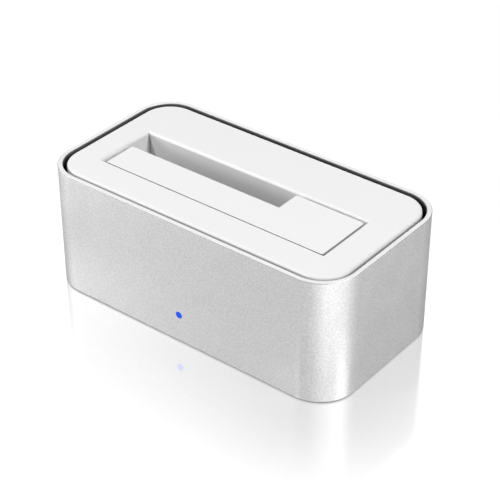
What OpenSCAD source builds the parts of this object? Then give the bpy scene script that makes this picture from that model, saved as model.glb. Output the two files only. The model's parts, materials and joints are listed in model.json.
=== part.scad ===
// Hard drive docking station: an aluminium sleeve round a white top insert,
// with a sprung flap that closes the wide part of the drive slot.
// Millimetres. X runs to the right, Y to the back and Z up. The origin is the
// middle of the footprint, on the surface that the feet stand on.

/* [Sleeve] */
// Outside width of the sleeve
body_w = 138; // [136:1:150]
// Outside depth of the sleeve, front to back
body_d = 73; // [72:1:84]
// Height of the sleeve
sleeve_h = 52; // [51:1:60]
// Outside radius of the upright corners
corner_r = 15.5; // [14:0.5:17]
// Thickness of the sleeve wall
wall = 2; // [1.6:0.2:2.6]
// Chamfer on the edges of the top rim
rim_chamfer = 0.2; // [0.1:0.05:0.5]
// Radius of the screw posts inside the corners
post_r = 3.3; // [3:0.1:3.6]

/* [Top insert] */
// Shadow gap between the sleeve and the insert
shadow_gap = 1.6; // [1.2:0.1:2]
// Depth of the shadow gap
gap_depth = 8; // [7:0.5:10]
// Thickness of the insert's plate
insert_t = 2.2; // [2:0.1:2.6]
// Thickness of the insert's skirt
skirt_t = 1.6; // [1.2:0.1:2]
// Radius on the insert's outer edge
insert_edge_r = 1.1; // [0.6:0.1:1.4]
// Radius on the slot's left and back edges, which lead a drive in
slot_edge_r = 1.15; // [0.8:0.05:1.3]
// Thickness of the frame under the insert
frame_t = 3; // [2.5:0.1:4]

/* [Drive slot] */
// Length of the slot, for a wide drive
slot_l = 106.3; // [105.8:0.1:107]
// Width of the slot, for a wide drive
slot_w = 28.1; // [27.8:0.1:28.6]
// Distance from the front face to the slot
slot_front = 17; // [16.5:0.5:20]
// Place of the slot's middle, from the body's middle
slot_shift = -0.3; // [-0.7:0.1:0.2]
// Radius of the slot's upright corners
slot_corner_r = 0.4; // [0.2:0.1:0.8]
// Length of the open notch, for a small drive
notch_l = 74.7; // [73.5:0.1:75.5]
// Width of the open notch, for a small drive
notch_w = 12.6; // [11.6:0.1:13.2]
// Thickness of the well's walls
well_wall = 1.8; // [1.4:0.1:2.2]

/* [Flap] */
// Gap at the flap's front edge
front_gap = 0.5; // [0.4:0.05:0.6]
// Gap at the flap's back edge
back_gap = 1.75; // [1.5:0.05:2]
// Gap at the flap's left end
left_gap = 2.6; // [2.4:0.05:2.8]
// Gap at the flap's right end
right_gap = 1; // [0.8:0.05:1.1]
// Thickness of the flap's plate
flap_t = 2.2; // [1.8:0.1:2.4]
// Radius of the flap's corners, seen from above
flap_corner_r = 0.8; // [0.5:0.1:1.5]
// Radius of the flap's knuckles
knuckle_r = 1.8; // [1.6:0.1:2]
// Length of each knuckle
knuckle_l = 8; // [6:0.5:12]
// Distance of the outer knuckles from the middle one
knuckle_step = 38; // [34:1:42]
// Radius of the hinge pin
pin_r = 0.8; // [0.7:0.05:0.9]
// Radius of the flap springs' wire
spring_wire_r = 0.25; // [0.2:0.05:0.3]
// Turns of each flap spring
spring_turns = 5; // [3:1:6]

/* [Base and feet] */
// Thickness of the base plate
base_t = 2.2; // [2:0.1:3]
// Distance of the base plate above the sleeve's lower edge
base_recess = 0.4; // [0.2:0.1:0.8]
// Height of the screw pads on the base plate
pad_h = 2.5; // [2:0.1:3]
// Distance that the feet stand below the sleeve
foot_proud = 0.6; // [0.4:0.1:1.2]
// Radius of the feet
foot_r = 5; // [4:0.5:6]
// Depth of the feet's seats in the base plate
foot_seat = 0.6; // [0.4:0.1:1]

/* [Circuit board] */
// Width of the circuit board
board_w = 104; // [100:1:108]
// Thickness of the circuit board
board_t = 1.6; // [1.2:0.2:2]
// Height of the posts under the circuit board
board_lift = 3.8; // [3.4:0.1:4.2]
// Height of the drive socket above the board
sata_h = 9.4; // [9:0.1:10]
// Length of the drive socket
sata_l = 42; // [40:0.5:44]
// Thickness of the drive socket
sata_w = 5.6; // [5.2:0.1:6]
// Distance that the socket stands out of the well's floor
sata_proud = 4.4; // [4:0.1:4.8]

/* [Rear ports] */
// Width of the opening in the sleeve's back
panel_w = 76; // [74:1:84]
// Height of the opening in the sleeve's back
panel_h = 24; // [23:0.5:28]
// Place of the data port, from the middle
usb_x = 4; // [0:0.5:8]
// Width of the data port
usb_w = 12.1; // [12:0.1:13]
// Height of the data port
usb_h = 12.8; // [12.4:0.1:13.4]
// Length of the data port
usb_l = 18; // [16:0.5:20]
// Place of the power inlet, from the middle
dc_x = 26; // [22:0.5:29]
// Width of the power inlet
dc_w = 9; // [8.5:0.1:10]
// Height of the power inlet
dc_h = 11; // [10:0.1:12]
// Length of the power inlet
dc_l = 14.4; // [13:0.1:16]
// Radius of the power inlet's bore
dc_bore_r = 3.15; // [2.9:0.05:3.4]
// Radius of the power inlet's pin
dc_pin_r = 1; // [0.9:0.05:1.3]
// Place of the power button, from the middle
button_x = -24; // [-30:0.5:-14]
// Radius of the power button
button_r = 3.8; // [3:0.1:4.4]
// Travel of the power button
button_travel = 2; // [1.5:0.1:2.2]
// Width and height of the switch's body
switch_w = 8.4; // [8:0.1:9]
// Length of the switch's body
switch_l = 10.5; // [10:0.1:12]

/* [Indicator] */
// Place of the light, from the middle
led_x = -0.7; // [-10:0.1:10]
// Height of the light above the sleeve's lower edge
led_up = 11.8; // [11.4:0.1:12.6]
// Radius of the light's lens
lens_r = 1.4; // [1.2:0.1:1.6]

/* [Screws] */
// Radius of the case screws
case_screw_r = 1.5; // [1.25:0.05:1.6]
// Radius of the case screws' heads
case_head_r = 2.75; // [2.5:0.05:2.9]
// Radius of the small screws
small_screw_r = 1.25; // [1:0.05:1.3]
// Radius of the small screws' heads
small_head_r = 2.3; // [2:0.1:2.5]

/* [Hidden] */
$fn = 64;

// Clearances
fit = 0.15;
loose = 0.3;
screw_clear = 0.1;
pin_fit = 0.02;
pin_run = 0.05;
button_clear = 0.4;
// Cutters reach this far past a face
over = 1;

// Heights from the standing surface
top_z = foot_proud + sleeve_h;
plate_z = top_z - insert_t;
frame_top = top_z - gap_depth;
frame_z = frame_top - frame_t;
base_z = foot_proud + base_recess;
base_top = base_z + base_t;
pad_top = base_top + pad_h;
board_z = base_top + board_lift;
board_top = board_z + board_t;
sata_top = board_top + sata_h;
floor_top = sata_top - sata_proud;
floor_t = 1.8;
lug_h = 4;
lug_z = frame_z - lug_h;

// Outlines, seen from above
inner_w = body_w - 2 * wall;
inner_d = body_d - 2 * wall;
inner_r = corner_r - wall;
insert_w = inner_w - 2 * shadow_gap;
insert_d = inner_d - 2 * shadow_gap;
insert_r = inner_r - shadow_gap;
front_y = -body_d / 2;
back_y = body_d / 2;
inner_back_y = back_y - wall;
inner_front_y = front_y + wall;

// Drive slot
slot_left = slot_shift - slot_l / 2;
slot_right = slot_shift + slot_l / 2;
slot_y0 = front_y + slot_front;
slot_y1 = slot_y0 + slot_w;
slot_mid_y = (slot_y0 + slot_y1) / 2;
notch_right = slot_left + notch_l;
notch_y0 = slot_y1 - notch_w;

// Flap hinge: the open flap's outer face hangs just in front of the slot's front edge
flap_z = top_z - flap_t;
hinge_z = plate_z - loose - knuckle_r;
hinge_drop = top_z - hinge_z;
open_clear = 0.2;
hinge_y = slot_y0 - hinge_drop - open_clear;
flap_y0 = slot_y0 + front_gap;
flap_y1 = slot_y1 - back_gap;
flap_x0 = slot_left + left_gap;
flap_x1 = slot_right - right_gap;
arm_grip = 3.2;
ear_t = 2.5;
ear_r = 2;
ear_gap = 0.25;
knuckle_x = [for (i = [-1:1]) slot_shift + i * knuckle_step];
pin_reach = knuckle_step + knuckle_l / 2 + ear_gap + ear_t;
pin_x0 = slot_shift - pin_reach;
pin_x1 = slot_shift + pin_reach;
coil_clear = 0.2;
coil_space = 0.45;
spring_touch = 0.05;
spring_r = pin_r + coil_clear + spring_wire_r;
spring_pitch = 2 * spring_wire_r + coil_space;
spring_leg = 7;
spring_x = [slot_shift - knuckle_step / 2, slot_shift + knuckle_step / 2];

// Drive well
pocket_clear = 0.5;
pocket_depth = 10.3;
pocket_y = hinge_y + flap_z - hinge_z - pocket_clear;
pocket_top = hinge_z - pocket_depth;
well_front_y = pocket_y - well_wall;
well_back_y = slot_y1 + well_wall;
well_left = slot_left - well_wall;
well_right = slot_right + well_wall;
well_flange_t = 2;
// Guide ribs on the well's end walls stay clear of the flap's ends
left_rib = left_gap - fit;
right_rib = right_gap - fit;
rib_w = 1.6;
rib_drop = 2;
rib_front = 5;
rib_back = 9;
rib_y = [slot_mid_y - rib_front, slot_mid_y + rib_back];
foot_rib_h = 3;
boss_r = 2.8;
// Parts of one solid run this far into each other
weld = 0.5;
// Opening in the frame, for the collar and the hinge
opening_x0 = well_left - loose;
opening_x1 = well_right + loose;
opening_y0 = hinge_y - knuckle_r - over;
opening_y1 = well_back_y + loose;
// Insert screws stand in the frame's land: the front two between the springs and the
// outer ears, the back two near the ends of the slot
screw_land = 0.85;
back_screw_inset = 3;
spring_end = knuckle_step / 2 + spring_pitch * spring_turns / 2;
ear_start = knuckle_step - knuckle_l / 2 - ear_gap - ear_t;
front_screw_step = (spring_end + ear_start) / 2;
front_screw_x = [slot_shift - front_screw_step, slot_shift + front_screw_step];
front_screw_y = opening_y0 - screw_land - small_screw_r - screw_clear;
back_screw_x = [slot_left + back_screw_inset, slot_right - back_screw_inset];
back_screw_y = opening_y1 + screw_land + small_screw_r + screw_clear;
front_seat_z = pocket_top - well_flange_t;
back_seat_z = frame_z - well_flange_t;
insert_screw_end = 1.2;
insert_hole_end = 0.4;

// Case screws stand in the corners, each with a land of base plate round its head
corner_land = 1;
pad_wall = 0.8;
head_clear = 0.25;
screw_ring = inner_r - fit - corner_land - case_head_r - head_clear;
case_x = body_w / 2 - corner_r + screw_ring * cos(45);
case_y = body_d / 2 - corner_r + screw_ring * sin(45);
case_head_h = 2;
case_seat_t = 2.3;
case_seat_z = pad_top - case_seat_t;
case_screw_end = 1;
case_hole_end = 0.5;
small_head_h = 1.6;
vent_l = 26;
vent_w = 2;
vent_step = 6;
vent_bar = 6;
foot_edge = 0.3;
foot_in_x = 12;
foot_in_y = 8;

// Circuit board and its fixings
board_gap = 4.5;
flange_t = 1.5;
board_y0 = inner_front_y + board_gap;
board_y1 = inner_back_y - flange_t - button_clear;
board_hole_in_x = 6;
board_hole_in_y = 5.2;
board_hole_x = board_w / 2 - board_hole_in_x;
board_hole_y = [board_y0 + board_hole_in_y, board_y1 - board_hole_in_y];
board_hole_depth = 0.6;
board_screw_end = 0.4;
post_out_r = 3;

// A drive stands between the guide ribs, a little clear of the slot's back wall
drive_play_x = 0.7;
drive_play_y = 1;
drive_to_socket_x = 30.1;
drive_to_socket_y = 3.5;
sata_x = slot_left + left_rib + drive_play_x + drive_to_socket_x;
sata_y = slot_y1 - drive_play_y - drive_to_socket_y;
sata_slot_t = 1.3;
sata_slot_depth = 6.5;
sata_pitch = 1.27;
sata_total = 33.4;
sata_signal_l = 10.4;
sata_power_l = 20.6;
sata_signal_x = sata_x - sata_total / 2 + sata_signal_l / 2;
sata_power_x = sata_x + sata_total / 2 - sata_power_l / 2;
contact_w = 0.7;
contact_t = 0.45;
contact_groove = 0.3;
contact_drop = 0.8;
shoulder = 0.2;
shoulder_drop = 2.5;
key_l = 1.2;
key_w = 2.4;

// Small parts on the board: the tall ones stand behind the well
part_gap = 1;
chip_w = 10;
chip_d = 8;
chip_h = 1.1;
chip_out = 30;
chip_back = 2;
chip_x = slot_shift + chip_out;
chip_y = slot_mid_y + chip_back;
small_chip_w = 5;
small_chip_d = 4;
small_chip_h = 1.5;
memory_out = 12;
memory_front = 8;
memory_x = slot_shift + memory_out;
memory_y = slot_mid_y - memory_front;
crystal_w = 5;
crystal_d = 3.2;
crystal_h = 1.2;
crystal_r = 0.6;
regulator_in_x = 20;
regulator_in_y = 7;
regulator_x = regulator_in_x - board_w / 2;
regulator_y = board_y1 - regulator_in_y;
leg_w = 0.4;
leg_reach = 0.9;
leg_t = 0.2;
coil_w = 7.3;
coil_h = 4.2;
coil_corner_r = 1.4;
coil_dish_r = 2.6;
coil_dish = 0.4;
coil_in_x = 12.5;
coil_x = coil_in_x - board_w / 2;
coil_y = well_back_y + part_gap + coil_w / 2;
can_r = 3.15;
can_h = 7.7;
can_seat_h = 1.2;
can_seat_w = 6.6;
can_seat_r = 0.6;
can_step = 8;
can_x = board_w / 2 - can_step;
can_y = well_back_y + part_gap + can_seat_w / 2;
passive_l = 1.6;
passive_w = 0.8;
passive_h = 0.6;
passive_step = 6;
passive_row = 2.4;
passive_out = 21;
passive_front = 13;
passive_x = slot_shift + passive_out;
passive_y = slot_mid_y - passive_front;

// Rear ports
panel_recess = 0.3;
panel_back_y = back_y - panel_recess;
panel_r = 3;
panel_lap = 2.5;
port_clear = 0.2;
port_in = 0.1;
port_y = panel_back_y - port_in;
usb_wall = 0.4;
usb_depth = 9;
usb_low_w = 8.5;
usb_low_h = 7.4;
usb_high_w = 5.6;
usb_high_h = 2.7;
usb_floor_h = 0.8;
usb_tongue_w = 5.6;
usb_tongue_h = 3.1;
usb_face_in = 0.3;
usb_tongue_in = 1;
usb_floor_z = board_top + usb_wall + usb_floor_h;
usb_tongue_z = usb_floor_z + (usb_low_h - usb_tongue_h) / 2;
usb_contact_t = 0.2;
usb_contact_w = 1;
usb_contact_l = 5.5;
usb_contact_in = 1.6;
usb_contact_x = 1.25;
dc_axis_down = 4.5;
dc_axis_z = board_top + dc_h - dc_axis_down;
dc_bore_depth = 9.5;
dc_pin_in = 1;
button_l = 5.2;
button_edge = 0.5;
button_z = board_top + switch_w / 2;
button_y0 = panel_back_y - button_l;
stem_w = 3;
stem_clear = 0.3;
stem_in = 4;
stem_root = 1;
button_stop = 1;
switch_y1 = button_y0 - button_travel - button_stop;
switch_y0 = switch_y1 - switch_l;
switch_hole = 9;
button_spring_turns = 5;
button_spring_r = 1.1;
button_spring_wire_r = 0.2;
button_spring_gap = 0.1;

// Indicator
led_z = foot_proud + led_up;
led_r = 1.5;
led_l = 4;
led_flange_r = 1.85;
led_flange_l = 0.8;
led_out = 1.6;
led_leg = 0.5;
led_leg_x = 1.27;
led_leg_reach = 1.5;
led_tip_y = board_y0 - led_out;
led_back_y = led_tip_y + led_l;
led_leg_y = led_back_y + led_leg_reach;
lens_flange = 1;
lens_flange_r = lens_r + lens_flange;
lens_flange_t = 1.2;
lens_dome = 0.35;

// Colours
silver = [0.78, 0.78, 0.78];
white = [0.95, 0.95, 0.95];
black = [0.08, 0.08, 0.09];
steel = [0.6, 0.6, 0.62];
gold = [0.85, 0.68, 0.3];
chip = [0.12, 0.12, 0.13];

// Rounded rectangle about the origin
module round_rect(w, d, r) {
    square([w - 2 * r, d], center = true);
    square([w, d - 2 * r], center = true);
    for (x = [-1, 1], y = [-1, 1])
        translate([x * (w / 2 - r), y * (d / 2 - r)])
            circle(r);
}

// Upright block with rounded corners, standing on z
module round_box(w, d, r, z, h) {
    translate([0, 0, z])
        linear_extrude(h)
            round_rect(w, d, r);
}

// Sweep a profile round a rounded rectangle: its x runs outwards from the outline, its y runs up
module swept_edge(w, d, r) {
    for (i = [0:3]) {
        along = i % 2 == 0 ? w : d;
        across = i % 2 == 0 ? d : w;
        rotate(90 * i) {
            translate([r - along / 2, across / 2, 0])
                rotate([90, 0, 90])
                    linear_extrude(along - 2 * r)
                        children();
            translate([along / 2 - r, across / 2 - r, 0])
                rotate_extrude(angle = 90)
                    translate([r, 0])
                        children();
        }
    }
}

// Box from one corner to the other
module span(a, b) {
    translate(a)
        cube(b - a);
}

// Upright panel with rounded corners, seen from the back, between two depths
module back_plate(x, z, w, h, r, y0, y1) {
    translate([x, y1, z])
        rotate([90, 0, 0])
            linear_extrude(y1 - y0)
                round_rect(w, h, r);
}

// Cylinder along Y between two depths
module y_rod(x, z, r, y0, y1) {
    translate([x, y1, z])
        rotate([90, 0, 0])
            cylinder(r = r, h = y1 - y0);
}

// Cylinder along X between two places
module x_rod(y, z, r, x0, x1) {
    translate([x0, y, z])
        rotate([0, 90, 0])
            cylinder(r = r, h = x1 - x0);
}

// Screw with its head's seat at the origin, shank up and a cross recess below
module screw(head_r, head_h, shank_r, length) {
    recess = 0.55 * head_h;
    recess_w = 0.28 * head_r;
    difference() {
        union() {
            translate([0, 0, -head_h])
                cylinder(r = head_r, h = head_h);
            cylinder(r = shank_r, h = length);
        }
        for (a = [0, 90])
            rotate(a)
                translate([-0.6 * head_r, -recess_w / 2, -head_h - over])
                    cube([1.2 * head_r, recess_w, recess + over]);
    }
}

module at_case_screws() {
    for (x = [-1, 1], y = [-1, 1])
        translate([x * case_x, y * case_y, 0])
            children();
}

module at_front_screws() {
    for (x = front_screw_x)
        translate([x, front_screw_y, 0])
            children();
}

module at_back_screws() {
    for (x = back_screw_x)
        translate([x, back_screw_y, 0])
            children();
}

module at_insert_screws() {
    at_front_screws()
        children();
    at_back_screws()
        children();
}

module at_board_screws() {
    for (x = [-1, 1], y = board_hole_y)
        translate([x * board_hole_x, y, 0])
            children();
}

// Ring of points round a wire, square to the way from p to q
function ring_at(p, q, axis, r, sides) =
    let (
        along = (q - p) / norm(q - p),
        side = axis - along * (along * axis),
        u = side / norm(side),
        v = cross(along, u)
    )
    [for (k = [0:sides - 1]) r * (u * cos(360 * k / sides) + v * sin(360 * k / sides))];

// Round wire swept along points that wind about an axis
module wire(points, axis, r, sides = 6) {
    last = len(points) - 1;
    tail = last * sides;
    rings = [
        for (i = [0:last])
            for (p = ring_at(points[max(i - 1, 0)], points[min(i + 1, last)], axis, r, sides))
                points[i] + p
    ];
    start_cap = [for (k = [1:sides - 2]) [0, k, k + 1]];
    end_cap = [for (k = [1:sides - 2]) [tail, tail + k + 1, tail + k]];
    skin = [
        for (i = [0:last - 1], k = [0:sides - 1])
            let (
                a = i * sides + k,
                b = i * sides + (k + 1) % sides
            )
            each [[a, a + sides, b], [b, a + sides, b + sides]]
    ];
    polyhedron(rings, concat(start_cap, end_cap, skin));
}

// Outside sleeve, extruded in one piece with a screw post in each corner
module outer_sleeve() {
    c = rim_chamfer;
    web_start = screw_ring + (case_screw_r + screw_clear + post_r) / 2;
    color(silver)
        difference() {
            union() {
                swept_edge(body_w, body_d, corner_r)
                    polygon([
                        [-wall, foot_proud], [0, foot_proud], [0, top_z - c],
                        [-c, top_z], [c - wall, top_z], [-wall, top_z - c]
                    ]);
                at_case_screws()
                    translate([0, 0, pad_top])
                        cylinder(r = post_r, h = lug_z - pad_top);
                for (x = [-1, 1], y = [-1, 1])
                    translate([x * (body_w / 2 - corner_r), y * (body_d / 2 - corner_r), pad_top])
                        rotate(atan2(y, x))
                            translate([web_start, -post_r / 2, 0])
                                cube([inner_r + wall / 2 - web_start, post_r, lug_z - pad_top]);
            }
            at_case_screws()
                translate([0, 0, pad_top - over])
                    cylinder(r = case_screw_r + screw_clear, h = lug_z - pad_top + 2 * over);
            y_rod(led_x, led_z, lens_r + screw_clear, front_y - over, inner_front_y + over);
            back_plate(
                0, foot_proud + panel_h / 2 - panel_r, panel_w, panel_h + 2 * panel_r, panel_r,
                inner_back_y - over, back_y + over
            );
        }
}

// Rounded edge whose round side faces out and up, with flanks that run into the plate
module outer_bead(r) {
    intersection() {
        translate([-r - weld, -weld])
            square(r + weld);
        union() {
            translate([-r, 0])
                circle(r);
            translate([-r - weld, -weld])
                square([r + weld, weld]);
            translate([-r - weld, -weld])
                square([weld, r + weld]);
        }
    }
}

// Rounded left and back edges of the slot
module slot_lead(r) {
    translate([slot_left, slot_y1 + r, top_z - r])
        rotate([90, 0, 0])
            linear_extrude(slot_w + r + weld)
                outer_bead(r);
    translate([slot_left - r, slot_y1, top_z - r])
        rotate([90, 0, 90])
            linear_extrude(slot_l + r + weld)
                mirror([1, 0])
                    outer_bead(r);
}

// White plate with the slot, its collar, a skirt and the ears of the hinge
module top_insert() {
    e = insert_edge_r;
    s = slot_edge_r;
    hole_h = plate_z - frame_top + over - insert_hole_end;
    color(white)
        difference() {
            union() {
                difference() {
                    union() {
                        round_box(insert_w, insert_d, insert_r, frame_top, gap_depth - e);
                        round_box(insert_w - 2 * e, insert_d - 2 * e, insert_r - e, frame_top, gap_depth);
                        translate([0, 0, top_z - e])
                            swept_edge(insert_w, insert_d, insert_r)
                                outer_bead(e);
                    }
                    round_box(
                        insert_w - 2 * skirt_t, insert_d - 2 * skirt_t, insert_r - skirt_t,
                        frame_top - over, plate_z - frame_top + over
                    );
                    span([slot_left - s, slot_y0, top_z - s], [slot_right, slot_y1 + s, top_z + over]);
                }
                slot_lead(s);
                difference() {
                    span(
                        [well_left, hinge_y + ear_r + loose, frame_z],
                        [well_right, well_back_y, plate_z + weld]
                    );
                    span(
                        [slot_left, hinge_y, frame_z - over],
                        [slot_right, slot_mid_y, plate_z]
                    );
                }
                at_insert_screws()
                    translate([0, 0, frame_top])
                        cylinder(r = boss_r, h = plate_z - frame_top + weld);
                for (x = knuckle_x, side = [-1, 1])
                    translate([x + side * (knuckle_l / 2 + ear_gap + ear_t / 2) - ear_t / 2, 0, 0]) {
                        span([0, hinge_y - ear_r, hinge_z], [ear_t, hinge_y + ear_r, plate_z + weld]);
                        x_rod(hinge_y, hinge_z, ear_r, 0, ear_t);
                    }
            }
            translate([slot_shift, slot_mid_y, 0])
                round_box(slot_l, slot_w, slot_corner_r, frame_z - over, gap_depth + frame_t + 2 * over);
            at_insert_screws()
                translate([0, 0, frame_top - over])
                    cylinder(r = small_screw_r + screw_clear, h = hole_h);
            x_rod(hinge_y, hinge_z, pin_r + pin_fit, pin_x0 - over, pin_x1 + over);
        }
}

// Black ring under the insert, at the bottom of the shadow gap
module inner_frame() {
    color(black)
        difference() {
            union() {
                round_box(inner_w - 2 * fit, inner_d - 2 * fit, inner_r - fit, frame_z, frame_t);
                at_case_screws()
                    translate([0, 0, lug_z])
                        cylinder(r = post_r, h = lug_h + frame_t / 2);
            }
            span([opening_x0, opening_y0, frame_z - over], [opening_x1, opening_y1, frame_top + over]);
            at_case_screws()
                translate([0, 0, lug_z - over])
                    cylinder(r = case_screw_r + screw_clear, h = lug_h + frame_t + over - case_hole_end);
            at_insert_screws()
                translate([0, 0, frame_z - over])
                    cylinder(r = small_screw_r + screw_clear, h = frame_t + 2 * over);
        }
}

// Walls, floor and ribs of the well
module well_shell() {
    difference() {
        union() {
            difference() {
                span([well_left, well_front_y, floor_top - floor_t], [well_right, well_back_y, frame_z]);
                span([slot_left, pocket_y, floor_top], [slot_right, slot_y1, frame_z + over]);
            }
            for (y = rib_y) {
                span(
                    [slot_left - well_wall / 2, y, floor_top - floor_t / 2],
                    [slot_left + left_rib, y + rib_w, frame_z - rib_drop]
                );
                span(
                    [slot_right - right_rib, y, floor_top - floor_t / 2],
                    [slot_right + well_wall / 2, y + rib_w, frame_z - rib_drop]
                );
            }
            for (x = knuckle_x)
                span(
                    [x - rib_w / 2, pocket_y - well_wall / 2, floor_top - floor_t / 2],
                    [x + rib_w / 2, slot_y0, floor_top + foot_rib_h]
                );
        }
        span(
            [well_left - over, well_front_y - over, pocket_top],
            [well_right + over, hinge_y + ear_r + loose, frame_z + over]
        );
        span(
            [sata_x - sata_l / 2 - loose, sata_y - sata_w / 2 - loose, floor_top - floor_t - over],
            [sata_x + sata_l / 2 + loose, sata_y + sata_w / 2 + loose, floor_top + over]
        );
    }
}

// Well that guides a drive from the slot down to its socket, with an ear for each insert screw
module drive_well() {
    color(white)
        difference() {
            union() {
                well_shell();
                for (x = back_screw_x)
                    span(
                        [x - boss_r, slot_y1 + well_wall / 2, back_seat_z],
                        [x + boss_r, back_screw_y + boss_r, frame_z]
                    );
                for (x = front_screw_x)
                    span(
                        [x - boss_r, front_screw_y, front_seat_z],
                        [x + boss_r, pocket_y - well_wall / 2, pocket_top]
                    );
                at_front_screws()
                    translate([0, 0, front_seat_z])
                        cylinder(r = boss_r, h = frame_z - front_seat_z);
            }
            at_insert_screws()
                translate([0, 0, front_seat_z - over])
                    cylinder(r = small_screw_r + screw_clear, h = frame_z - front_seat_z + 2 * over);
        }
}

// Flap over the wide part of the slot, with an arm and a knuckle at each hinge place
module drive_flap() {
    r = flap_corner_r;
    leg_l = flap_x1 - flap_x0;
    leg_d = notch_y0 - flap_y0;
    side_w = flap_x1 - notch_right;
    side_d = flap_y1 - flap_y0;
    arm_top = plate_z - loose - hinge_z;
    arm_reach = flap_y0 - hinge_y + arm_grip;
    arm_low = -1.5;
    root = 0.8;
    color(white)
        difference() {
            union() {
                translate([0, 0, flap_z])
                    linear_extrude(flap_t)
                        union() {
                            translate([flap_x0 + leg_l / 2, flap_y0 + leg_d / 2])
                                round_rect(leg_l, leg_d, r);
                            translate([notch_right + side_w / 2, flap_y0 + side_d / 2])
                                round_rect(side_w, side_d, r);
                        }
                for (x = knuckle_x) {
                    x_rod(hinge_y, hinge_z, knuckle_r, x - knuckle_l / 2, x + knuckle_l / 2);
                    translate([x - knuckle_l / 2, hinge_y, hinge_z])
                        rotate([90, 0, 90])
                            linear_extrude(knuckle_l)
                                polygon([
                                    [0, arm_low], [flap_y0 - hinge_y, arm_low],
                                    [arm_reach, flap_z - hinge_z], [arm_reach, flap_z - hinge_z + root],
                                    [flap_y0 - hinge_y + root, flap_z - hinge_z + root],
                                    [flap_y0 - hinge_y + root, arm_top], [0, arm_top]
                                ]);
                }
            }
            x_rod(hinge_y, hinge_z, pin_r + pin_run, pin_x0, pin_x1);
        }
}

module hinge_pin() {
    color(steel)
        x_rod(hinge_y, hinge_z, pin_r, pin_x0, pin_x1);
}

// Torsion spring round the hinge pin: one leg lifts the flap, the other bears on the insert
function torsion_path(x) =
    let (
        steps = 8 * spring_turns,
        leg_rise = plate_z - hinge_z - spring_r - spring_wire_r - spring_touch,
        x_at = function (i) x + spring_pitch * spring_turns * (i / steps - 0.5)
    )
    concat(
        [[x_at(0), hinge_y - spring_leg, hinge_z + spring_r + leg_rise]],
        [
            for (i = [0:steps])
                let (a = 90 - 360 * spring_turns * i / steps)
                [x_at(i), hinge_y + spring_r * cos(a), hinge_z + spring_r * sin(a)]
        ],
        [[x_at(steps), hinge_y + spring_leg, hinge_z + spring_r + leg_rise]]
    );

module flap_springs() {
    color(steel)
        for (x = spring_x)
            wire(torsion_path(x), [1, 0, 0], spring_wire_r);
}

// Screws that hold the well and the frame up to the insert, longer in front
module insert_screws() {
    tip_z = plate_z - insert_screw_end;
    color(steel) {
        at_front_screws()
            translate([0, 0, front_seat_z])
                screw(small_head_r, small_head_h, small_screw_r, tip_z - front_seat_z);
        at_back_screws()
            translate([0, 0, back_seat_z])
                screw(small_head_r, small_head_h, small_screw_r, tip_z - back_seat_z);
    }
}

// Base plate with screw pads, posts for the board, seats for the feet and vents
module base_plate() {
    color(black)
        difference() {
            union() {
                round_box(inner_w - 2 * fit, inner_d - 2 * fit, inner_r - fit, base_z, base_t);
                at_case_screws()
                    translate([0, 0, base_top - base_t / 2])
                        cylinder(r = case_head_r + head_clear + pad_wall, h = pad_h + base_t / 2);
                at_board_screws()
                    translate([0, 0, base_top - base_t / 2])
                        cylinder(r = post_out_r, h = board_lift + base_t / 2);
            }
            at_case_screws() {
                translate([0, 0, base_z - over])
                    cylinder(r = case_head_r + head_clear, h = case_seat_z - base_z + over);
                translate([0, 0, base_z])
                    cylinder(r = case_screw_r + screw_clear, h = pad_top - base_z + over);
            }
            at_board_screws()
                translate([0, 0, base_top - board_hole_depth])
                    cylinder(r = small_screw_r + screw_clear, h = board_lift + over);
            at_feet()
                translate([0, 0, base_z - over])
                    cylinder(r = foot_r + screw_clear, h = foot_seat + over);
            for (i = [-3:3], side = [-1, 1])
                translate([i * vent_step, side * (vent_l + vent_bar) / 2, base_z + base_t / 2])
                    cube([vent_w, vent_l, base_t + 2 * over], center = true);
        }
}

// Screws that clamp the base plate, the sleeve's posts and the frame together
module case_screws() {
    color(steel)
        at_case_screws()
            translate([0, 0, case_seat_z])
                screw(case_head_r, case_head_h, case_screw_r, frame_top - case_screw_end - case_seat_z);
}

module at_feet() {
    for (x = [-1, 1], y = [-1, 1])
        translate([x * (case_x - foot_in_x), y * (case_y - foot_in_y), 0])
            children();
}

module rubber_feet() {
    foot_h = base_z + foot_seat;
    color(black)
        at_feet()
            rotate_extrude()
                polygon([
                    [0, 0], [foot_r - foot_edge, 0], [foot_r, foot_edge], [foot_r, foot_h], [0, foot_h]
                ]);
}

// Panel in the sleeve's back, with a flange inside the wall
module port_panel() {
    flange_h = foot_proud + panel_h + panel_lap - base_top;
    color(white)
        difference() {
            union() {
                intersection() {
                    back_plate(
                        0, foot_proud + panel_h / 2 - panel_r, panel_w - 2 * fit,
                        panel_h + 2 * panel_r - 2 * fit, panel_r - fit,
                        inner_back_y - flange_t / 2, panel_back_y
                    );
                    span([-panel_w, 0, foot_proud], [panel_w, back_y, top_z]);
                }
                back_plate(
                    0, base_top + flange_h / 2, panel_w + 2 * panel_lap, flange_h, panel_r / 2,
                    inner_back_y - flange_t, inner_back_y - screw_clear
                );
            }
            span([-panel_w, 0, 0], [panel_w, inner_back_y - screw_clear + fit, base_top]);
            span(
                [usb_x - usb_w / 2 - port_clear, inner_back_y - flange_t - over, board_top - port_clear],
                [usb_x + usb_w / 2 + port_clear, back_y + over, board_top + usb_h + port_clear]
            );
            span(
                [dc_x - dc_w / 2 - port_clear, inner_back_y - flange_t - over, board_top - port_clear],
                [dc_x + dc_w / 2 + port_clear, back_y + over, board_top + dc_h + port_clear]
            );
            y_rod(
                button_x, button_z, button_r + button_clear,
                inner_back_y - flange_t - over, back_y + over
            );
        }
}

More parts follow.
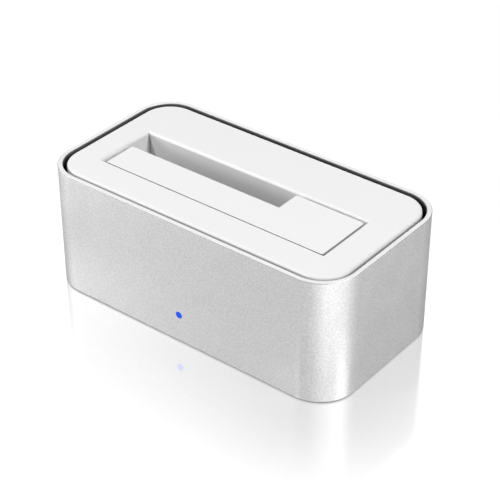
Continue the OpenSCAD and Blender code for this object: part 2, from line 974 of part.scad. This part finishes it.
module circuit_board() {
    color([0.05, 0.3, 0.16])
        difference() {
            span([-board_w / 2, board_y0, board_z], [board_w / 2, board_y1, board_top]);
            at_board_screws()
                translate([0, 0, board_z - over])
                    cylinder(r = small_screw_r + screw_clear, h = board_t + 2 * over);
        }
}

module board_screws() {
    shank_l = board_t + board_lift - board_screw_end;
    color(steel)
        at_board_screws()
            translate([0, 0, board_top])
                mirror([0, 0, 1])
                    screw(small_head_r, small_head_h, small_screw_r, shank_l);
}

// Contacts of one part of the drive socket, in a row along X
module contact_row(x, count, grow) {
    y = sata_y - sata_slot_t / 2 - contact_groove;
    for (i = [0:count - 1])
        translate([x + (i - (count - 1) / 2) * sata_pitch, 0, 0])
            span(
                [-contact_w / 2, y, sata_top - sata_slot_depth],
                [contact_w / 2, y + contact_t + grow, sata_top - contact_drop]
            );
}

module sata_contacts() {
    color(gold) {
        contact_row(sata_signal_x, 7, 0);
        contact_row(sata_power_x, 15, 0);
    }
}

// Slot of one part of the drive socket, with the short leg that keys it
module keyed_slot(x, length) {
    translate([x, sata_y, 0]) {
        span(
            [-length / 2, -sata_slot_t / 2, sata_top - sata_slot_depth],
            [length / 2, sata_slot_t / 2, sata_top + over]
        );
        span(
            [length / 2 - key_l, -sata_slot_t / 2, sata_top - sata_slot_depth],
            [length / 2, key_w - sata_slot_t / 2, sata_top + over]
        );
    }
}

// Upright socket that a drive plugs into
module sata_socket() {
    shoulder_h = sata_h - sata_proud - shoulder_drop;
    color(black)
        difference() {
            union() {
                span(
                    [sata_x - sata_l / 2, sata_y - sata_w / 2 + shoulder, board_top],
                    [sata_x + sata_l / 2, sata_y + sata_w / 2 - shoulder, sata_top]
                );
                span(
                    [sata_x - sata_l / 2, sata_y - sata_w / 2, board_top],
                    [sata_x + sata_l / 2, sata_y + sata_w / 2, board_top + shoulder_h]
                );
            }
            keyed_slot(sata_signal_x, sata_signal_l);
            keyed_slot(sata_power_x, sata_power_l);
            contact_row(sata_signal_x, 7, over / 2);
            contact_row(sata_power_x, 15, over / 2);
        }
}

// Flat chip package with legs along two sides, standing on the board
module leaded_chip(x, y, w, d, h, legs) {
    pitch = w / legs;
    translate([x, y, board_top]) {
        span([-w / 2, -d / 2, leg_t / 2], [w / 2, d / 2, h]);
        for (i = [0:legs - 1])
            translate([(i - (legs - 1) / 2) * pitch, 0, 0])
                span([-leg_w / 2, -d / 2 - leg_reach, 0], [leg_w / 2, d / 2 + leg_reach, leg_t]);
    }
}

// Chip that turns the drive's signals into the data port's
module bridge_chip() {
    color(chip)
        leaded_chip(chip_x, chip_y, chip_w, chip_d, chip_h, 12);
}

module memory_chip() {
    color(chip)
        leaded_chip(memory_x, memory_y, small_chip_w, small_chip_d, small_chip_h, 4);
}

module crystal() {
    color(steel)
        translate([chip_x, memory_y, board_top])
            linear_extrude(crystal_h)
                round_rect(crystal_w, crystal_d, crystal_r);
}

module regulator_chip() {
    color(chip)
        leaded_chip(regulator_x, regulator_y, small_chip_w, small_chip_d, small_chip_h, 4);
}

module power_inductor() {
    color([0.25, 0.25, 0.26])
        translate([coil_x, coil_y, board_top])
            difference() {
                linear_extrude(coil_h)
                    round_rect(coil_w, coil_w, coil_corner_r);
                translate([0, 0, coil_h - coil_dish])
                    cylinder(r = coil_dish_r, h = over);
            }
}

module capacitors() {
    color([0.7, 0.7, 0.72])
        for (i = [0, 1])
            translate([can_x - i * can_step, can_y, board_top]) {
                linear_extrude(can_seat_h)
                    round_rect(can_seat_w, can_seat_w, can_seat_r);
                translate([0, 0, can_seat_h / 2])
                    cylinder(r = can_r, h = can_h - can_seat_h / 2);
            }
}

module chip_passives() {
    color([0.55, 0.45, 0.35])
        for (i = [0:3], j = [0, 1])
            translate([passive_x + i * passive_step, passive_y + j * passive_row, board_top])
                cube([passive_l, passive_w, passive_h]);
}

// Pressed metal shell of the data port
module usb_shell() {
    color(steel)
        difference() {
            span(
                [usb_x - usb_w / 2, port_y - usb_l, board_top],
                [usb_x + usb_w / 2, port_y, board_top + usb_h]
            );
            span(
                [usb_x - usb_w / 2 + usb_wall, port_y - usb_l + usb_wall, board_top + usb_wall],
                [usb_x + usb_w / 2 - usb_wall, port_y + over, board_top + usb_h - usb_wall]
            );
        }
}

// Moulded inside of the data port: a stepped cavity with a tongue in its lower part
module usb_insert() {
    color([0.1, 0.25, 0.7])
        union() {
            difference() {
                span(
                    [usb_x - usb_w / 2 + usb_wall, port_y - usb_l + usb_wall, board_top + usb_wall],
                    [usb_x + usb_w / 2 - usb_wall, port_y - usb_face_in, board_top + usb_h - usb_wall]
                );
                span(
                    [usb_x - usb_low_w / 2, port_y - usb_depth, usb_floor_z],
                    [usb_x + usb_low_w / 2, port_y + over, usb_floor_z + usb_low_h]
                );
                span(
                    [usb_x - usb_high_w / 2, port_y - usb_depth, usb_floor_z + usb_low_h - over],
                    [usb_x + usb_high_w / 2, port_y + over, usb_floor_z + usb_low_h + usb_high_h]
                );
            }
            span(
                [usb_x - usb_tongue_w / 2, port_y - usb_depth - over, usb_tongue_z],
                [usb_x + usb_tongue_w / 2, port_y - usb_tongue_in, usb_tongue_z + usb_tongue_h]
            );
        }
}

module usb_contacts() {
    y1 = port_y - usb_contact_in;
    color(gold)
        for (x = [-1, 1], z = [usb_tongue_z - usb_contact_t, usb_tongue_z + usb_tongue_h])
            translate([usb_x + x * usb_contact_x, 0, 0])
                span(
                    [-usb_contact_w / 2, y1 - usb_contact_l, z],
                    [usb_contact_w / 2, y1, z + usb_contact_t]
                );
}

module dc_jack() {
    color(black)
        difference() {
            span(
                [dc_x - dc_w / 2, port_y - dc_l, board_top],
                [dc_x + dc_w / 2, port_y, board_top + dc_h]
            );
            y_rod(dc_x, dc_axis_z, dc_bore_r, port_y - dc_bore_depth, port_y + over);
        }
}

module dc_pin() {
    color(steel)
        y_rod(dc_x, dc_axis_z, dc_pin_r, port_y - dc_bore_depth, port_y - dc_pin_in);
}

// Body of the power switch, with a hole for the button's stem and its spring
module switch_body() {
    h = stem_w / 2 + stem_clear;
    color(chip)
        difference() {
            span(
                [button_x - switch_w / 2, switch_y0, board_top],
                [button_x + switch_w / 2, switch_y1, board_top + switch_w]
            );
            span(
                [button_x - h, switch_y1 - switch_hole, button_z - h],
                [button_x + h, switch_y1 + over, button_z + h]
            );
        }
}

module power_button() {
    color(white) {
        translate([button_x, panel_back_y - button_l, button_z])
            rotate([-90, 0, 0])
                rotate_extrude()
                    polygon([
                        [0, 0], [button_r, 0], [button_r, button_l - button_edge],
                        [button_r - button_edge, button_l], [0, button_l]
                    ]);
        span(
            [button_x - stem_w / 2, switch_y1 - stem_in, button_z - stem_w / 2],
            [button_x + stem_w / 2, button_y0 + stem_root, button_z + stem_w / 2]
        );
    }
}

// Coil between the bottom of the switch's hole and the button's stem
function coil_path() =
    let (
        steps = 8 * button_spring_turns,
        y0 = switch_y1 - switch_hole + button_spring_wire_r + button_spring_gap,
        y1 = switch_y1 - stem_in - button_spring_wire_r - button_spring_gap
    )
    [
        for (i = [0:steps])
            let (a = 360 * button_spring_turns * i / steps)
            [
                button_x + button_spring_r * cos(a),
                y0 + (y1 - y0) * i / steps,
                button_z + button_spring_r * sin(a)
            ]
    ];

module switch_spring() {
    color(steel)
        wire(coil_path(), [0, 1, 0], button_spring_wire_r);
}

// Lamp at the board's front edge, on two bent legs
module indicator_led() {
    color([0.75, 0.85, 1])
        union() {
            y_rod(led_x, led_z, led_r, led_tip_y, led_back_y);
            y_rod(led_x, led_z, led_flange_r, led_back_y - led_flange_l, led_back_y);
            for (x = [led_x - led_leg_x, led_x + led_leg_x]) {
                span(
                    [x - led_leg / 2, led_back_y - led_flange_l / 2, led_z - led_leg / 2],
                    [x + led_leg / 2, led_leg_y, led_z + led_leg / 2]
                );
                span(
                    [x - led_leg / 2, led_leg_y - led_leg, board_top],
                    [x + led_leg / 2, led_leg_y, led_z + led_leg / 2]
                );
            }
        }
}

// Lens through the sleeve's front, with a flange inside the wall
module light_pipe() {
    dome_r = (lens_r * lens_r + lens_dome * lens_dome) / (2 * lens_dome);
    color([0.1, 0.3, 0.95])
        union() {
            intersection() {
                y_rod(led_x, led_z, lens_r, front_y - over, inner_front_y + lens_flange_t / 2);
                translate([led_x, front_y + dome_r, led_z])
                    sphere(dome_r);
            }
            y_rod(led_x, led_z, lens_flange_r, inner_front_y, inner_front_y + lens_flange_t);
            y_rod(led_x, led_z, lens_r, inner_front_y + lens_flange_t / 2, led_tip_y - screw_clear);
        }
}

outer_sleeve();
top_insert();
inner_frame();
drive_well();
drive_flap();
hinge_pin();
flap_springs();
insert_screws();
base_plate();
case_screws();
rubber_feet();
port_panel();
circuit_board();
board_screws();
sata_socket();
sata_contacts();
bridge_chip();
memory_chip();
crystal();
regulator_chip();
power_inductor();
capacitors();
chip_passives();
usb_shell();
usb_insert();
usb_contacts();
dc_jack();
dc_pin();
switch_body();
switch_spring();
power_button();
indicator_led();
light_pipe();
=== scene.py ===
import json
import math

import bpy
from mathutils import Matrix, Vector


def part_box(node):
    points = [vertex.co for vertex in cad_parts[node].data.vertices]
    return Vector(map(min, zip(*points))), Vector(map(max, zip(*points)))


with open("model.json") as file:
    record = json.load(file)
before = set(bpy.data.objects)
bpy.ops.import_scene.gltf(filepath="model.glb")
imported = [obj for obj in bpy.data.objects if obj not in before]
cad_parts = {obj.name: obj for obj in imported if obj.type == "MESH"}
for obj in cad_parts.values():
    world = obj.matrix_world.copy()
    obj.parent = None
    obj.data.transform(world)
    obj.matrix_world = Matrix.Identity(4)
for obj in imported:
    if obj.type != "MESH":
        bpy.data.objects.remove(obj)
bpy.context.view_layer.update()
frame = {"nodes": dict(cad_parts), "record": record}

nodes = frame["nodes"]
MM = 0.001

# Sizes of the sleeve, from the frame and in millimetres
SLEEVE_LOW, SLEEVE_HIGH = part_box("outer_sleeve")
HALF_W, HALF_D, TOP_Z = (v / MM for v in SLEEVE_HIGH)
CORNER_R = 15.5
WALL = 2.0

# Aluminium: chamfer at the rim, depth over which the painted shade inside the wall goes from lighter to
# dark, and lumps of grain and gloss
RIM_EDGE = 0.2
WALL_SHADE_FADE = 2.0
METAL_GRAIN = 0.65
METAL_CLOUDS = 9.0
METAL_RELIEF = 0.003

# Painted shade: gaps in the white top narrower than this are darkened
SHADE_GAP = 1.5
SHADE_TONES = (0.1, 0.14)

# Copper plating round the board's holes
PLATED = (0.75, 0.6, 0.3)

# Camera, as the photograph was taken
CAM_AZIMUTH = math.radians(38.302)
CAM_ELEVATION = math.radians(33.915)
CAM_DISTANCE = 604.661 * MM
CAM_TARGET = Vector((6.218, -2.163, 26.6)) * MM
CAM_LENS = 113.854

# Light levels
AMBIENT = 0.01
BACKDROP = 1.0

# Floor: size in metres, distances from the sleeve's outline in millimetres
FLOOR_SIZE = 8.0
FLOOR_COLOUR = 0.12
FLOOR_LIFT = 0.92
FLOOR_CONTACT = 0.7
FLOOR_EDGE = 0.05
FLOOR_GLOSS = 0.45
FLOOR_GLOSS_REACH = 60
FLOOR_ROUGHNESS = 0.12


def grey(v):
    return (v, v, v)


class Nodes:
    """Short ways to add and join the nodes of one tree."""

    def __init__(self, tree):
        self.tree = tree

    def add(self, kind, **settings):
        node = self.tree.nodes.new(kind)
        for key, value in settings.items():
            setattr(node, key, value)
        return node

    def link(self, source, target):
        self.tree.links.new(source, target)

    def place(self):
        """Position in the part's frame, in millimetres."""
        coords = self.add("ShaderNodeTexCoord")
        return self.vector("SCALE", coords.outputs["Object"], scale=1 / MM)

    def vector(self, operation, value, other=None, scale=None):
        node = self.add("ShaderNodeVectorMath", operation=operation)
        self.link(value, node.inputs[0])
        if other:
            node.inputs[1].default_value = other
        if scale:
            node.inputs["Scale"].default_value = scale
        return node.outputs["Value"] if operation == "LENGTH" else node.outputs["Vector"]

    def math(self, operation, a, b):
        """Sum, larger one or the like of two values."""
        node = self.add("ShaderNodeMath", operation=operation)
        self.link(a, node.inputs[0])
        self.link(b, node.inputs[1])
        return node.outputs[0]

    def span(self, value, low, high, start=0.3, end=0.7, curve="LINEAR"):
        """Number that runs from low to high as the value goes from start to end."""
        node = self.add("ShaderNodeMapRange", interpolation_type=curve)
        for key, number in zip(("From Min", "From Max", "To Min", "To Max"), (start, end, low, high)):
            node.inputs[key].default_value = number
        self.link(value, node.inputs["Value"])
        return node.outputs["Result"]

    def reach(self):
        """Distance outwards from the sleeve's core, which is the corner radius on the outline itself."""
        core = (HALF_W - CORNER_R, HALF_D - CORNER_R, 0)
        flat = self.vector("MULTIPLY", self.place(), (1, 1, 0))
        outside = self.vector("SUBTRACT", self.vector("ABSOLUTE", flat), core)
        return self.vector("LENGTH", self.vector("MAXIMUM", outside))

    def seen_ray(self):
        """One for camera, mirror and glass rays, nothing for the rest."""
        path = self.add("ShaderNodeLightPath")
        kinds = [path.outputs[k] for k in ("Is Camera Ray", "Is Glossy Ray", "Is Transmission Ray")]
        seen = kinds[0]
        for kind in kinds[1:]:
            seen = self.math("MAXIMUM", seen, kind)
        return seen

    def blend(self, factor, a, b):
        node = self.add("ShaderNodeMixShader")
        self.link(factor, node.inputs[0])
        self.link(a.outputs[0], node.inputs[1])
        self.link(b.outputs[0], node.inputs[2])
        return node


class Surface(Nodes):
    """A material built round one Principled shader."""

    def __init__(self, name):
        self.material = bpy.data.materials.new(name)
        self.material.use_nodes = True
        super().__init__(self.material.node_tree)
        self.shader = self.tree.nodes["Principled BSDF"]
        self.where = self.place()

    def set(self, **values):
        for key, value in values.items():
            socket = self.shader.inputs[key.replace("_", " ")]
            socket.default_value = (*value, 1) if isinstance(value, tuple) else value

    def feed(self, source, socket):
        self.link(source, self.shader.inputs[socket])

    def noise(self, size, detail=2.0, stretch=None):
        """Noise whose lumps are about size millimetres across, drawn out along an axis by stretch."""
        node = self.add("ShaderNodeTexNoise")
        node.inputs["Scale"].default_value = 1 / size
        node.inputs["Detail"].default_value = detail
        place = self.vector("MULTIPLY", self.where, stretch) if stretch else self.where
        self.link(place, node.inputs["Vector"])
        return node.outputs["Fac"]

    def ramp(self, value, low, high, start=0.3, end=0.7):
        """Colour that runs from low to high as the value goes from start to end."""
        node = self.add("ShaderNodeValToRGB")
        first, last = node.color_ramp.elements
        first.position, first.color = start, (*low, 1)
        last.position, last.color = end, (*high, 1)
        self.link(value, node.inputs["Fac"])
        return node.outputs["Color"]

    def mix(self, factor, a, b):
        """Colour between a and b, each of which is an output or a constant."""
        node = self.add("ShaderNodeMix", data_type="RGBA")
        self.link(factor, node.inputs["Factor"])
        for socket, colour in ((node.inputs[6], a), (node.inputs[7], b)):
            if isinstance(colour, tuple):
                socket.default_value = (*colour, 1)
            else:
                self.link(colour, socket)
        return node.outputs[2]

    def height(self):
        node = self.add("ShaderNodeSeparateXYZ")
        self.link(self.where, node.inputs[0])
        return node.outputs["Z"]

    def open_sky(self, distance):
        """One in the open, falling to nothing inside gaps narrower than the distance."""
        node = self.add("ShaderNodeAmbientOcclusion", samples=8)
        node.inputs["Distance"].default_value = distance * MM
        return self.span(node.outputs["AO"], 0.0, 1.0, 0.2, 0.9)

    def bump(self, value, depth):
        node = self.add("ShaderNodeBump")
        node.inputs["Distance"].default_value = depth * MM
        self.link(value, node.inputs["Height"])
        self.feed(node.outputs["Normal"], "Normal")

    def textured(self, colour, spread, rough, rough_spread, grain, depth, stretch=None, gap=0):
        """Colour, gloss and relief that follow one grain; painted shade darkens gaps narrower than gap.
        """
        value = self.noise(grain, stretch=stretch)
        low = tuple(c * (1 - spread) for c in colour)
        high = tuple(c * (1 + spread) for c in colour)
        tone = self.ramp(value, low, high)
        # Painted shade: the colour darkens inside narrow gaps by ambient occlusion
        if gap:
            crease_shade = self.ramp(value, *map(grey, SHADE_TONES))
            tone = self.mix(self.open_sky(gap), crease_shade, tone)
        self.feed(tone, "Base Color")
        self.feed(self.span(value, rough - rough_spread, rough + rough_spread), "Roughness")
        self.bump(value, depth)


def aluminium(name):
    """Bead-blasted sleeve with a machined rim lightened further as a painted highlight, a chamfer
    darkened as painted shade, and painted shade inside the wall that darkens with depth.
    """
    s = Surface(name)
    s.set(Metallic=1.0, Specular_Tint=grey(0.4))
    fine = s.noise(METAL_GRAIN, detail=1.0)
    height = s.height()
    body = s.ramp(fine, grey(0.413), grey(0.522))
    edge = s.ramp(fine, grey(0.33), grey(0.4))
    rim = s.ramp(fine, grey(0.72), grey(0.79))
    # Painted shade: the inside of the wall is lighter near the top and dark deeper down in the gap
    wall_shade_deep = s.ramp(fine, grey(0.07), grey(0.09))
    wall_shade_top = s.ramp(fine, grey(0.38), grey(0.44))
    inside = s.mix(s.span(height, 0.0, 1.0, TOP_Z - WALL_SHADE_FADE, TOP_Z), wall_shade_deep, wall_shade_top)
    inner_r = CORNER_R - WALL
    outside = s.span(s.reach(), 0.0, 1.0, inner_r + 0.05, inner_r + 0.1)
    tone = s.mix(outside, inside, body)
    # Painted shade: the rim's chamfer is darkened so that its highlight does not show
    tone = s.mix(s.span(height, 0.0, 1.0, TOP_Z - RIM_EDGE - 0.05, TOP_Z - RIM_EDGE), tone, edge)
    # Machined rim: lighter than the body in its own colour, and raised further as a painted highlight on
    # the top face
    tone = s.mix(s.span(height, 0.0, 1.0, TOP_Z - 0.04, TOP_Z - 0.02), tone, rim)
    s.feed(tone, "Base Color")
    s.feed(s.span(s.noise(METAL_CLOUDS), 0.47, 0.51), "Roughness")
    s.bump(fine, METAL_RELIEF)
    return s.material


def moulded(name, colour, rough=0.42, grain=0.35, depth=0.006, spread=0.008, gap=0):
    """Moulded plastic with a fine satin texture."""
    s = Surface(name)
    s.textured(colour, spread, rough, 0.04, grain, depth, gap=gap)
    return s.material


def drawn_metal(name, colour, rough, stretch, grain=0.3):
    """Metal with fine lines along the way that it was drawn or turned."""
    s = Surface(name)
    s.set(Metallic=1.0)
    s.textured(colour, 0.06, rough, 0.08, grain, 0.004, stretch)
    return s.material


def rubber(name, colour):
    s = Surface(name)
    s.textured(colour, 0.2, 0.82, 0.08, 0.5, 0.02)
    return s.material


def laminate(name):
    """Circuit board: green solder mask with tracks under it and bare plated holes."""
    s = Surface(name)
    tracks = s.add("ShaderNodeTexBrick")
    tracks.inputs["Scale"].default_value = 0.55
    tracks.inputs["Mortar Size"].default_value = 0.03
    tracks.inputs["Color1"].default_value = (0.012, 0.11, 0.05, 1)
    tracks.inputs["Color2"].default_value = (0.014, 0.13, 0.06, 1)
    tracks.inputs["Mortar"].default_value = (0.03, 0.22, 0.1, 1)
    s.link(s.where, tracks.inputs["Vector"])
    holes = s.add("ShaderNodeTexVoronoi", feature="F1")
    holes.inputs["Scale"].default_value = 0.22
    s.link(s.where, holes.inputs["Vector"])
    away = s.span(holes.outputs["Distance"], 0.0, 1.0, 0.08, 0.1)
    s.feed(s.mix(away, PLATED, tracks.outputs["Color"]), "Base Color")
    s.feed(s.span(s.noise(2.0), 0.3, 0.42), "Roughness")
    s.bump(tracks.outputs["Fac"], 0.03)
    return s.material


def glowing_lens(name):
    """Clear blue lens, lit from behind, with a glow that varies in patches."""
    s = Surface(name)
    s.set(Base_Color=(0.003, 0.03, 0.6), Roughness=0.12, Specular_IOR_Level=0.06)
    s.set(Emission_Strength=1.0)
    s.feed(s.ramp(s.noise(0.8), (0.0, 0.026, 0.5), (0.0, 0.06, 0.72)), "Emission Color")
    s.bump(s.noise(0.4), 0.004)
    return s.material


ALONG_X = (0.08, 1.0, 1.0)
ALONG_Y = (1.0, 0.08, 1.0)
ALONG_Z = (1.0, 1.0, 0.08)

MATERIALS = {
    "sleeve_aluminium": aluminium("sleeve_aluminium"),
    "white_plastic": moulded("white_plastic", grey(0.88), rough=0.38, gap=SHADE_GAP),
    "flap_plastic": moulded("flap_plastic", grey(0.89), rough=0.38, gap=SHADE_GAP),
    "panel_plastic": moulded("panel_plastic", grey(0.84), rough=0.5, depth=0.012),
    "button_plastic": moulded("button_plastic", grey(0.8), rough=0.35),
    "black_plastic": moulded("black_plastic", grey(0.02), rough=0.55, spread=0.1),
    "base_plastic": moulded("base_plastic", grey(0.04), rough=0.6, grain=0.6, depth=0.03, spread=0.15),
    "foot_rubber": rubber("foot_rubber", grey(0.022)),
    "bright_steel": drawn_metal("bright_steel", (0.55, 0.55, 0.56), 0.28, ALONG_Y),
    "spring_steel": drawn_metal("spring_steel", (0.42, 0.42, 0.44), 0.32, ALONG_X),
    "screw_steel": drawn_metal("screw_steel", (0.4, 0.4, 0.41), 0.35, ALONG_Z),
    "board_laminate": laminate("board_laminate"),
    "connector_plastic": moulded("connector_plastic", grey(0.022), rough=0.45, spread=0.12),
    "gold_contacts": drawn_metal("gold_contacts", (0.8, 0.56, 0.2), 0.25, ALONG_Z),
    "chip_epoxy": moulded("chip_epoxy", grey(0.03), rough=0.6, spread=0.15),
    "ferrite": moulded("ferrite", grey(0.09), rough=0.7, spread=0.2),
    "capacitor_aluminium": drawn_metal("capacitor_aluminium", (0.6, 0.6, 0.62), 0.3, ALONG_Z),
    "ceramic": moulded("ceramic", (0.45, 0.36, 0.27), rough=0.5, spread=0.1),
    "port_steel": drawn_metal("port_steel", (0.58, 0.58, 0.6), 0.3, ALONG_X),
    "port_blue": moulded("port_blue", (0.02, 0.1, 0.5), rough=0.4, spread=0.05),
    "led_epoxy": moulded("led_epoxy", (0.6, 0.75, 0.95), rough=0.15, spread=0.02),
    "blue_lens": glowing_lens("blue_lens"),
}


def dress_nodes():
    for part in frame["record"]["subparts"]:
        mesh = nodes[part["node"]].data
        mesh.materials.clear()
        mesh.materials.append(MATERIALS[part["material_slot"]])


def floor_material():
    """White floor that keeps the object's shadow, with a mirror image that fades away from the base."""
    material = bpy.data.materials.new("studio_floor")
    material.use_nodes = True
    material.node_tree.nodes.clear()
    n = Nodes(material.node_tree)
    reach = n.reach()

    # Diffuse share, which shows the shadow, and a lift to white that stops under the object
    diffuse = n.add("ShaderNodeBsdfDiffuse")
    diffuse.inputs["Color"].default_value = (*grey(FLOOR_COLOUR), 1)
    lift = n.add("ShaderNodeEmission")
    # Painted shadow: the lift fades out across the sleeve's outline, leaving a dark contact line along
    # the base
    edge = CORNER_R + FLOOR_EDGE
    outside = n.span(reach, 0.0, FLOOR_LIFT, edge - FLOOR_CONTACT, edge)
    n.link(outside, lift.inputs["Strength"])
    unlit = n.add("ShaderNodeEmission")
    unlit.inputs["Strength"].default_value = 0.0
    lifted = n.blend(n.seen_ray(), unlit, lift)
    white = n.add("ShaderNodeAddShader")
    n.link(diffuse.outputs[0], white.inputs[0])
    n.link(lifted.outputs[0], white.inputs[1])

    # Mirror that fades with the distance from the sleeve's outline
    gloss = n.add("ShaderNodeBsdfGlossy")
    gloss.inputs["Roughness"].default_value = FLOOR_ROUGHNESS
    share = n.span(reach, FLOOR_GLOSS, 0.0, CORNER_R, CORNER_R + FLOOR_GLOSS_REACH, "SMOOTHSTEP")
    surface = n.blend(share, white, gloss)

    # Seen or lit from below, the floor lets the base show
    side = n.add("ShaderNodeNewGeometry")
    ray = n.add("ShaderNodeLightPath")
    passed = n.math("MAXIMUM", side.outputs["Backfacing"], ray.outputs["Is Shadow Ray"])
    clear = n.add("ShaderNodeBsdfTransparent")
    both = n.blend(passed, surface, clear)
    output = n.add("ShaderNodeOutputMaterial")
    n.link(both.outputs[0], output.inputs["Surface"])
    return material


def make_floor():
    bpy.ops.mesh.primitive_plane_add(size=FLOOR_SIZE)
    floor = bpy.context.object
    floor.name = "floor"
    floor.data.materials.append(floor_material())


def make_world():
    """Even studio surround: soft light on the object, white where it is seen or mirrored."""
    world = bpy.data.worlds.new("studio")
    bpy.context.scene.world = world
    world.use_nodes = True
    world.node_tree.nodes.clear()
    n = Nodes(world.node_tree)
    background = n.add("ShaderNodeBackground")
    n.link(n.span(n.seen_ray(), AMBIENT, BACKDROP, 0.0, 1.0), background.inputs["Strength"])
    output = n.add("ShaderNodeOutputWorld")
    n.link(background.outputs[0], output.inputs["Surface"])


def area_light(name, place, size, size_y, watts, flagged=()):
    """Rectangular lamp that faces the object's middle, with the flagged nodes kept out of its light."""
    data = bpy.data.lights.new(name, "AREA")
    data.shape = "RECTANGLE"
    data.size = size
    data.size_y = size_y
    data.energy = watts
    light = bpy.data.objects.new(name, data)
    light.location = place
    middle = Vector((0, 0, TOP_Z / 2 * MM))
    light.rotation_euler = (middle - light.location).to_track_quat("-Z", "Y").to_euler()
    bpy.context.scene.collection.objects.link(light)
    if flagged:
        shaded = bpy.data.collections.new(f"{name}_flag")
        for node in flagged:
            shaded.objects.link(nodes[node])
        for entry in shaded.collection_objects:
            entry.light_linking.link_state = "EXCLUDE"
        light.light_linking.receiver_collection = shaded


def make_lights():
    off_sleeve = ("outer_sleeve",)
    area_light("key", (-0.49, -0.78, 1.2), 0.15, 0.15, 9.6, flagged=off_sleeve)
    area_light("back_left", (-0.45, 0.55, 0.55), 0.6, 0.5, 0.88)
    area_light("left_front", (-0.38, -0.32, 0.14), 0.3, 0.24, 1.72)
    area_light("left_near", (-0.23, -0.193, 0.031), 0.1, 0.05, 0.21)
    area_light("corner_low", (0.498, -0.418, 0.037), 0.1, 0.06, 3.05)
    area_light("right_low", (0.646, -0.068, 0.037), 0.1, 0.06, 2.65)
    area_light("right_side", (1.375, 0.169, 0.826), 0.4, 0.4, 7.8, flagged=off_sleeve)
    area_light("right_high", (0.448, 0.039, 0.562), 0.25, 0.25, 1.7)
    area_light("under", (0, 0, -0.6), 0.1, 0.05, 2.2)


def make_camera():
    data = bpy.data.cameras.new("camera")
    data.sensor_width = 36.0
    data.lens = CAM_LENS
    data.clip_start = 0.01
    data.clip_end = 50.0
    camera = bpy.data.objects.new("camera", data)
    away = Vector((
        math.sin(CAM_AZIMUTH) * math.cos(CAM_ELEVATION),
        -math.cos(CAM_AZIMUTH) * math.cos(CAM_ELEVATION),
        math.sin(CAM_ELEVATION),
    ))
    camera.location = CAM_TARGET + away * CAM_DISTANCE
    camera.rotation_euler = (math.pi / 2 - CAM_ELEVATION, 0, CAM_AZIMUTH)
    bpy.context.scene.collection.objects.link(camera)
    bpy.context.scene.camera = camera


bpy.context.scene.view_settings.view_transform = "Standard"
dress_nodes()
make_floor()
make_world()
make_lights()
make_camera()
